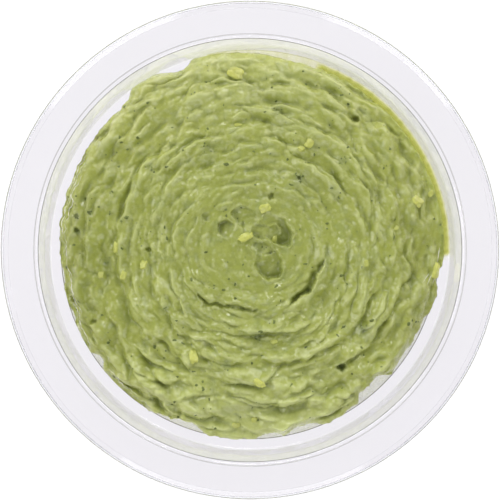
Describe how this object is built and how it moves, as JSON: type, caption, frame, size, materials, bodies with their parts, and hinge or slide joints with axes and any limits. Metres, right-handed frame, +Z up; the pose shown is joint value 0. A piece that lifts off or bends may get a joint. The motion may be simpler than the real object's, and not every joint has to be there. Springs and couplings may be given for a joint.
{
  "type": "bowl of avocado dip",
  "caption": "Round clear plastic tub with a wide flat flange, filled to its stacking shoulder with thick green avocado dip whose top lies in swirled folds.",
  "frame": {"origin": "centre of the tub's foot, on the surface that it stands on", "axes": "+Z up through the tub's mouth, +X to the right and +Y away from the viewer, as in the picture seen from above"},
  "size_m": [0.118, 0.118, 0.04],
  "materials": {
    "clear_plastic": "thin clear thermoformed plastic, glossy and faintly lavender, with fine concentric drawing lines",
    "avocado_dip": "moist mashed avocado, pale yellow-green, with paler fruit pieces and dark green flecks"
  },
  "bodies": {
    "root": {"tub": "clear_plastic", "dip": "avocado_dip"}
  },
  "joints": []
}
